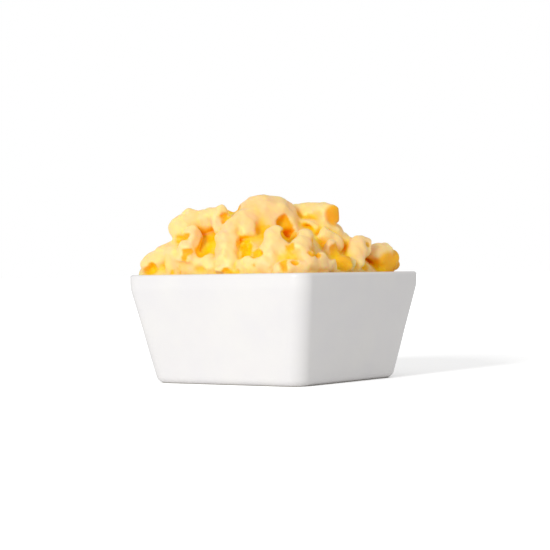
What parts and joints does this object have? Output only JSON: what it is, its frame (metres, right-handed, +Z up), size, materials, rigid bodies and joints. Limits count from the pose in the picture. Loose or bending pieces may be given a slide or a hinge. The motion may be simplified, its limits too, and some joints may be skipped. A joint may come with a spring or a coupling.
{
  "type": "mac and cheese in a square dish",
  "caption": "Elbow macaroni in thick cheese sauce, heaped above the rim of a small flared square dish of white glazed porcelain.",
  "frame": {"origin": "centre of the dish's flat underside, on the table", "axes": "+Z up; the dish's four sides face along X and Y"},
  "size_m": [0.11, 0.11, 0.093],
  "materials": {
    "porcelain": "smooth, glossy, bright white glaze",
    "cheese_sauced_macaroni": "cooked elbow macaroni under moist, satin, creamy yellow cheese sauce"
  },
  "bodies": {
    "root": {"dish": "porcelain", "macaroni_cheese": "cheese_sauced_macaroni"}
  },
  "joints": []
}
